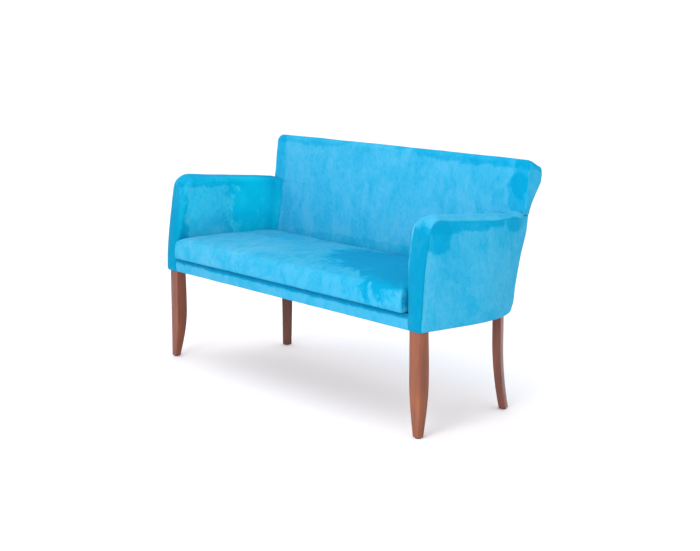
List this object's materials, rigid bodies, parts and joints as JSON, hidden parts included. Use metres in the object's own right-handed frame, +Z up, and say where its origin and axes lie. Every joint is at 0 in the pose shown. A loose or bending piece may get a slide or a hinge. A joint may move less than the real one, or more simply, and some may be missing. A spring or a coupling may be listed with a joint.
{
  "type": "two-seater sofa",
  "caption": "Upholstered two-seater sofa with curved padded arms, a raked straight back, a boxed one-piece seat pad and exposed sabre legs.",
  "frame": {"origin": "on the floor, below the middle of the sofa's overall width and depth", "axes": "+X to the viewer's right when facing the sofa's front, along its length; +Y from the front towards the back; +Z up"},
  "size_m": [1.49, 0.5725, 0.832],
  "materials": {
    "cover_fabric": "short-pile velvet in a bright turquoise blue",
    "leg_wood": "mahogany-stained hardwood under a satin lacquer",
    "frame_wood": "planed beech, unfinished",
    "board": "bare plywood and hardboard",
    "foam": "cut polyurethane foam with a fleece lining",
    "webbing": "woven elastic webbing",
    "dust_cloth": "black spun-bonded cloth",
    "glide": "black nylon",
    "fastener": "zinc-plated steel"
  },
  "bodies": {
    "root": {"front_leg_left": "leg_wood", "front_leg_right": "leg_wood", "back_leg_left": "leg_wood", "back_leg_right": "leg_wood", "leg_glides": "glide", "glide_pins": "fastener", "front_seat_rail": "frame_wood", "back_seat_rail": "frame_wood", "side_seat_rail_left": "frame_wood", "side_seat_rail_right": "frame_wood", "cross_rails": "frame_wood", "corner_blocks": "frame_wood", "corner_block_screws": "fastener", "back_leg_bolts": "fastener", "seat_base": "board", "seat_screws": "fastener", "seat_foam": "foam", "seat_cover": "cover_fabric", "apron_cover": "cover_fabric", "dust_cover": "dust_cloth", "arm_rail_left": "frame_wood", "arm_rail_right": "frame_wood", "side_board_left": "board", "side_board_right": "board", "arm_lining_left": "board", "arm_lining_right": "board", "arm_side_foam_left": "foam", "arm_side_foam_right": "foam", "arm_top_foam_left": "foam", "arm_top_foam_right": "foam", "inside_arm_cover_left": "cover_fabric", "inside_arm_cover_right": "cover_fabric", "outside_arm_cover_left": "cover_fabric", "outside_arm_cover_right": "cover_fabric", "back_stile_left": "frame_wood", "back_stile_right": "frame_wood", "back_middle_stile": "frame_wood", "back_top_rail": "frame_wood", "back_bottom_rail": "frame_wood", "back_webbing": "webbing", "back_foam": "foam", "inside_back_cover": "cover_fabric", "rear_board": "board", "outside_back_cover": "cover_fabric"}
  },
  "joints": []
}
